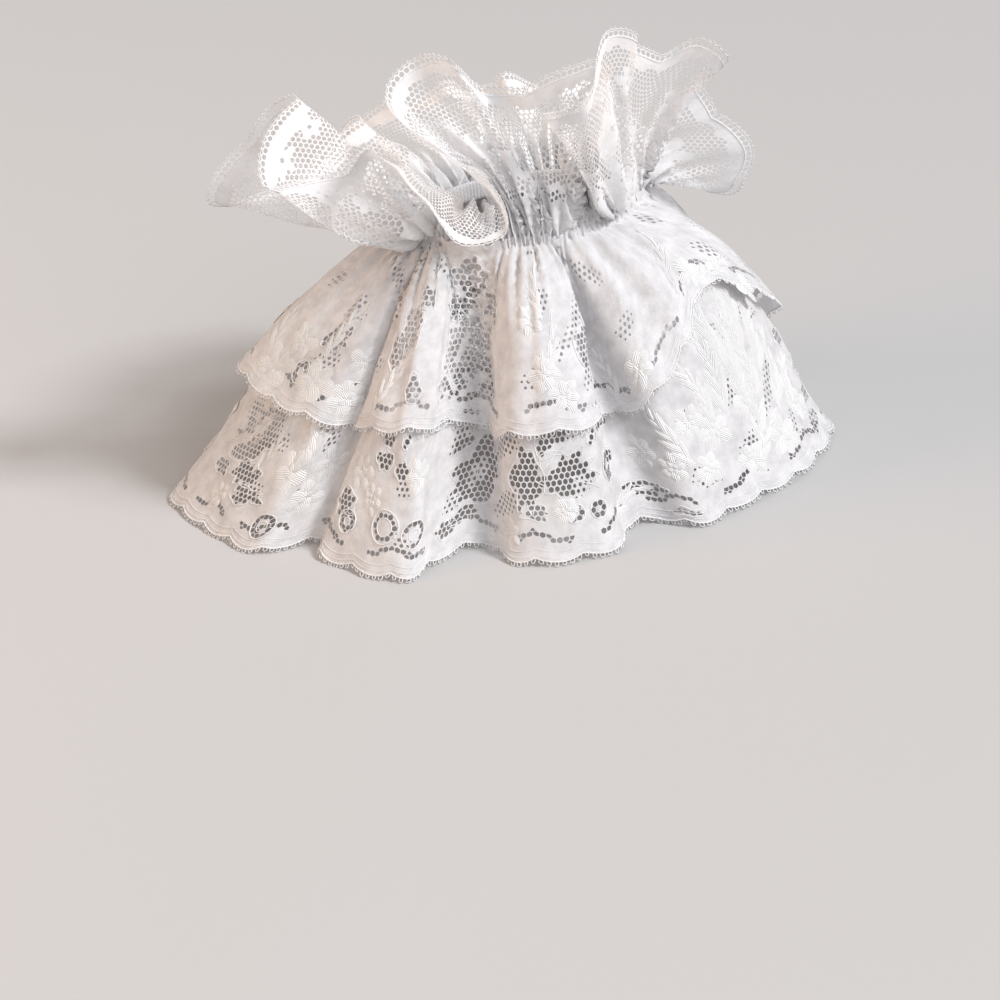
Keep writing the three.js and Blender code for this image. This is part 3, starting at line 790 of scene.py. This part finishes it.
def satin_mesh(name, lace, petals):
    """Low padded petals laid on a strip; their own layout runs across and along each petal."""
    around = np.linspace(0, TAU, PETAL_SIDES, endpoint=False)
    ring = np.arange(PETAL_SIDES)
    after = (ring + 1) % PETAL_SIDES
    ring_rises = [PETAL_RISE * (1 - share**2) - PETAL_TUCK for share in PETAL_RINGS]
    rise = np.concatenate([[PETAL_RISE], np.repeat(ring_rises, PETAL_SIDES)])
    flat, local, fans, bands = [], [], [], []
    for k, (s, t, half_length, half_width, tilt) in enumerate(petals):
        middle = len(rise) * k
        first = middle + 1
        x, y = [np.zeros(1)], [np.zeros(1)]
        for share in PETAL_RINGS:
            x.append(share * half_length * np.cos(around))
            y.append(share * half_width * np.sin(around) * np.abs(np.sin(around)) ** PETAL_TIP)
        x, y = np.concatenate(x), np.concatenate(y)
        ds, dt = turned(x, y, -tilt)
        flat.append(np.column_stack([s + ds, t + dt]))
        local.append(np.column_stack([y + THREAD_SHIFT * k, THREAD_STRETCH * x]))
        fans.append(np.column_stack([np.full(PETAL_SIDES, middle), first + ring, first + after]))
        for level in range(len(PETAL_RINGS) - 1):
            low = first + PETAL_SIDES * level
            high = low + PETAL_SIDES
            bands.append(np.column_stack([low + ring, high + ring, high + after, low + after]))
    flat = np.concatenate(flat)
    points = lace.folded(*flat.T, np.tile(rise, len(petals)))
    points[:, 2] = np.maximum(points[:, 2], PETAL_OVER_FLOOR)
    return mesh_object(name, points, [np.concatenate(fans), np.concatenate(bands)], np.concatenate(local))


def ring_path(s, t, half_width, half_height, radius):
    """A closed oval cord round a flat place."""
    around = np.linspace(0, TAU, max(10, int(3.5 * (half_width + half_height))), endpoint=False)
    s, t = s + half_width * np.cos(around), t + half_height * np.sin(around)
    return np.column_stack([s, t]), radius, True


class HeadingLace:
    """How wide the heading's holes are, and the same field."""

    def __init__(self, lace, sprigs):
        self.lace = lace
        self.sprigs = lace.placed(sprigs)
        for k, s in enumerate(lace.hidden_stretch(HEADING_HIDDEN, BACK_SPRIGS)):
            self.sprigs.append((s, BACK_SPRIG_HEIGHTS[k % 2], BACK_SPRIG_SIZE, 25 * k))
        for k in range(LOW_SPRIGS):
            s = lace.length * (k + 0.3) / LOW_SPRIGS
            self.sprigs.append((s, LOW_SPRIG_HEIGHT, LOW_SPRIG_SIZE, 40 * k))

    def foot(self, s):
        """Where the net ends in close clothwork above the wrist line, in an uneven line."""
        uneven = 1.8 * np.sin(s / 4.7 + 2 * np.sin(s / 13))
        return self.lace.depth(self.lace.place_of(s)) - HEADING_FOOT + uneven

    def vine(self, s):
        return VINE_HEIGHT + VINE_WAVE * np.sin(TAU * VINE_WAVES * s / self.lace.length)

    def __call__(self, s, t):
        inner = HEADING_BAND + 0.7 * np.sin(s / 3.1 + 1.4 * np.sin(s / 7.7)) + 0.5 * np.sin(s / 1.3)
        net = np.where(t < (FRINGE + inner) / 2, FRINGE - t, t - inner)
        hole = np.where(t > self.vine(s), DENSE_NET_HOLE, NET_HOLE)
        net = np.minimum(net, np.abs(t - self.vine(s)) - VINE_HALF)
        net = np.minimum(net, self.foot(s) - t)
        for centre, height, size, turn in self.sprigs:
            ds, dt = self.lace.apart(s, centre), t - height
            near = (np.abs(ds) < size) & (np.abs(dt) < size)
            for petal in range(SPRIG_PETALS):
                x, y = turned(ds, dt, turn + 360 / SPRIG_PETALS * petal)
                x = x - SPRIG_REACH * size
                shape = 1 - np.hypot(x / (SPRIG_LENGTH * size), y / (SPRIG_WIDTH * size))
                net = np.where(near, np.minimum(net, -shape * SPRIG_WIDTH * size), net)
        return hole, net


def edge_line(lace, height, radius):
    """A cord all the way round, at one height over the free edge."""
    s = np.linspace(0, lace.length, int(lace.length / CORD_STEP), endpoint=False)
    return np.column_stack([s, np.full(len(s), height)]), radius, True


def picots(lace, pitch, size, radius):
    """Small uneven loops of thread along the free edge."""
    count = round(lace.length / pitch)
    loops = []
    for k in range(count):
        s = lace.length * (k + 0.5) / count
        half_width = size * (0.9 + 0.15 * math.sin(4.7 * k))
        half_height = size * (1 + 0.3 * math.sin(2.3 * k))
        loops.append(ring_path(s, -0.45 * size, half_width, half_height, radius))
    return loops


def whole_strip(place):
    """The share of the way down that a strip reaches where it has its own fold lines."""
    return 1.0


def shirred_elastic():
    """The elastic ring in its shirred casing: fine upright ribs all the way round."""
    around, section = CASING_AROUND, CASING_SECTION
    height = (elastic_high[2] - elastic_low[2]) / MM
    middle = (elastic_high[2] + elastic_low[2]) / 2 / MM
    a = np.linspace(0, TAU, around, endpoint=False)
    rib = CASING_RIB_DEPTH * np.abs(np.sin(CASING_RIBS * a / 2 + 1.2 * np.sin(7 * a))) - CASING_RIB_DEPTH
    loops = []
    for k in range(section):
        # Powers under 1 make the section a rounded box
        c, n = math.cos(TAU * k / section), math.sin(TAU * k / section)
        out = ELASTIC_WALL / 2 * (1 + math.copysign(abs(c) ** 0.5, c))
        rise = height / 2 * math.copysign(abs(n) ** 0.6, n)
        out = out + (rib if c > 0 else -rib) * min(1, 2 * abs(c))
        loops.append(np.column_stack([
            WRIST_X + (WRIST_WIDTH / 2 + out) * np.sin(a),
            WRIST_Y - (WRIST_DEPTH / 2 + out) * np.cos(a),
            np.full(around, middle + CASING_HEIGHT * rise),
        ]))
    flat = np.column_stack([np.tile(a * WRIST_WIDTH / 2, section), np.repeat(np.arange(section), around)])
    return mesh_object("shirred_elastic", np.concatenate(loops), [tube_faces(0, around, section)], flat)


def shader_node(tree, kind, wires=None, **values):
    """A new shader node; wires name its inputs and the outputs that they come from."""
    made = tree.nodes.new("ShaderNode" + kind)
    for key, output in (wires or {}).items():
        tree.links.new(output, made.inputs[key])
    for key, value in values.items():
        made.inputs[key].default_value = value
    return made


def lace_material(name, shade, thin, see_through, strength, veil=0, bands="DIAGONAL", scale=0.9,
                  distortion=3):
    """Fine white thread with a soft sheen.

    thin is the shade's share where the clothwork is thin, see_through the share of light that comes
    through it, and veil the share of it that is open between threads. bands, scale and distortion lay out
    the threads, and strength is how deep they are.
    """
    material = bpy.data.materials.new(name)
    material.use_nodes = True
    tree = material.node_tree
    flat = shader_node(tree, "Attribute")
    flat.attribute_name = "flat"
    layout = {"Vector": flat.outputs["Vector"]}
    threads = shader_node(tree, "TexWave", layout, Scale=scale, Distortion=distortion, Detail=2)
    threads.wave_type, threads.bands_direction = "BANDS", bands
    clouds = shader_node(tree, "TexNoise", layout, Scale=0.22, Detail=5, Roughness=0.62)
    tone = shader_node(tree, "ValToRGB", {"Fac": clouds.outputs["Fac"]})
    thin_end, full_end = tone.color_ramp.elements
    thin_end.position, full_end.position = 0.34, 0.62
    thin_end.color, full_end.color = [thin * c for c in shade] + [1], [*shade, 1]
    grain = shader_node(tree, "Math", {0: threads.outputs["Fac"], 1: clouds.outputs["Fac"]})
    relief = {"Height": grain.outputs["Value"]}
    bump = shader_node(tree, "Bump", relief, Strength=strength, Distance=0.0003)

    shader = tree.nodes["Principled BSDF"]
    for key, value in THREAD_SURFACE.items():
        shader.inputs[key].default_value = value
    tree.links.new(tone.outputs["Color"], shader.inputs["Base Color"])
    tree.links.new(bump.outputs["Normal"], shader.inputs["Normal"])
    glow = shader_node(tree, "BsdfTranslucent", {"Color": tone.outputs["Color"]})
    both = {1: shader.outputs["BSDF"], 2: glow.outputs["BSDF"]}
    thread = shader_node(tree, "MixShader", both, Fac=see_through)
    clear = shader_node(tree, "BsdfTransparent")
    both = {1: thread.outputs["Shader"], 2: clear.outputs["BSDF"]}
    sheer = shader_node(tree, "MixShader", both, Fac=veil)
    tree.links.new(sheer.outputs["Shader"], tree.nodes["Material Output"].inputs["Surface"])
    return material


def camera():
    """The photograph's view: from above, rolled so that the cuff's right side rises."""
    ahead, right, up = (Vector(axis) for axis in camera_axes())
    off_x, off_y = PICTURE / 2 - CINCH_FRONT_X, CINCH_FRONT_Y - PICTURE / 2
    aim = ahead * DISTANCE + right * off_x * PIXEL + up * off_y * PIXEL
    off_centre = math.cos(aim.angle(ahead))
    aim.normalize()
    up = (up - aim * up.dot(aim)).normalized()
    data = bpy.data.cameras.new("camera")
    data.sensor_width = SENSOR
    data.lens = SENSOR * DISTANCE / PIXEL / PICTURE / off_centre
    made = new_object("camera", data)
    turn = Matrix((aim.cross(up), up, -aim)).transposed().to_4x4()
    made.matrix_world = Matrix.Translation((Vector(CINCH_FRONT) - ahead * DISTANCE) * MM) @ turn
    bpy.context.scene.camera = made


def light(kind, name, place, target, **settings):
    """A light that points at a target."""
    data = bpy.data.lights.new(name, kind)
    for setting, value in settings.items():
        setattr(data, setting, value)
    made = new_object(name, data)
    made.location = place
    made.rotation_euler = (Vector(target) - Vector(place)).to_track_quat("-Z", "Y").to_euler()


def stage():
    """A plain pale floor and soft studio light: white from the right, warm and weak from the left."""
    bpy.ops.mesh.primitive_plane_add(size=8)
    floor = bpy.context.object
    floor.name = "floor"
    material = bpy.data.materials.new("pale_floor")
    material.use_nodes = True
    shader = material.node_tree.nodes["Principled BSDF"]
    shader.inputs["Base Color"].default_value = (0.5, 0.497, 0.5, 1)
    shader.inputs["Roughness"].default_value = 0.9
    floor.data.materials.append(material)
    world = bpy.data.worlds.new("pale_world")
    bpy.context.scene.world = world
    world.use_nodes = True
    background = world.node_tree.nodes["Background"]
    background.inputs["Color"].default_value = (0.95, 0.94, 0.96, 1)
    background.inputs["Strength"].default_value = 0.47
    middle = (0, 0, 0.05)
    light("SUN", "key_light", (0.8, -0.46, 0.78), (0, 0, 0), angle=math.radians(12), energy=2.9)
    light("AREA", "front_light", (0.5, -0.9, 0.8), middle, size=0.45, energy=3.3, color=(0.97, 0.98, 1))
    light("AREA", "fill_light", (-1, -0.12, 0.43), middle, size=0.7, energy=5.8, color=(1, 0.63, 0.34))
    bpy.context.scene.view_settings.view_transform = "Standard"


def dress(piece, material, node=None):
    """Gives a piece its material and its place in the frame; node is the solid that it stands for."""
    piece.data.materials.append(material)
    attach(piece, "root")
    if node:
        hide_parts(node)


camera()
flounce_lay = dict(
    outward=1, fullness=FLOUNCE_FULLNESS, pleats=FLOUNCE_PLEATS, pitch=FLOUNCE_PITCH, scallop=SCALLOP,
    scallop_depth=SCALLOP_DEPTH,
)
long_lace = FlatLace(
    "long_flounce_lace", long_strip.point, long_strip.line_length, whole_strip, lift=LONG_HEM_LIFT,
    **flounce_lay,
)
short_lace = FlatLace(
    "short_flounce_lace", short_surface, short_depth, short_share, lift=0, **flounce_lay
)
heading_lace = FlatLace(
    "heading_lace", heading_strip.point, heading_strip.line_length, whole_strip, outward=-1,
    fullness=HEADING_FULLNESS, pleats=HEADING_PLEATS, pitch=HEADING_PITCH,
    scallop=HEADING_SCALLOP, scallop_depth=HEADING_SCALLOP_DEPTH, lift=0,
)
long_pattern = FlounceLace(long_lace, LONG_WINDOWS, LONG_LEAVES, LONG_FLOWERS, LONG_ROSES, LONG_SPRAYS)
short_pattern = FlounceLace(
    short_lace, SHORT_WINDOWS, SHORT_LEAVES, SHORT_FLOWERS, SHORT_ROSES, SHORT_SPRAYS
)
heading_pattern = HeadingLace(heading_lace, HEADING_SPRIGS)

lace_white = lace_material(
    "white_lace", (0.86, 0.85, 0.865), thin=0.8, see_through=0.24, strength=0.25, veil=0.12, distortion=6
)
heading_white = lace_material(
    "white_heading", (0.92, 0.915, 0.925), thin=0.9, see_through=0.28, strength=0.2, distortion=6
)
# The casing is white elastic. Its colour is darkened below its own white as painted shade, because it
# lies inside the cuff.
casing_painted_shade = lace_material(
    "shirred_casing_painted_shade", (0.7, 0.69, 0.71), thin=0.85, see_through=0.1, strength=0.3
)
cord_white = lace_material("white_cord", (0.9, 0.9, 0.91), thin=0.9, see_through=0.12, strength=0.3)
satin_white = lace_material(
    "white_satin", (0.89, 0.885, 0.89), thin=0.95, see_through=0.12, strength=0.75, bands="X", scale=0.6
)

for lace, pattern, node in (
    (heading_lace, heading_pattern, "heading_ruffle"),
    (short_lace, short_pattern, "short_flounce"),
    (long_lace, long_pattern, "long_flounce"),
):
    is_heading = lace is heading_lace
    sheet, material_area = lace_mesh(lace, pattern)
    dress(sheet, heading_white if is_heading else lace_white, node)
    cords = [edge_line(lace, *cord) for cord in (HEADING_CORDS if is_heading else HEM_CORDS)]
    if not is_heading:
        cords += pattern.outlines()
    loops = picots(lace, *(HEADING_PICOTS if is_heading else HEM_PICOTS))
    trims = [
        cord_mesh(lace.name.replace("lace", "cords"), lace, cords),
        cord_mesh(lace.name.replace("lace", "picots"), lace, loops, sides=3),
    ]
    for trim in trims:
        dress(trim, cord_white)
    if not is_heading:
        trims.append(satin_mesh(lace.name.replace("lace", "petals"), lace, pattern.petals))
        dress(trims[-1], satin_white)
    width = float(np.mean(lace.depth(lace.places)))
dress(shirred_elastic(), casing_painted_shade, "wrist_elastic")
stage()
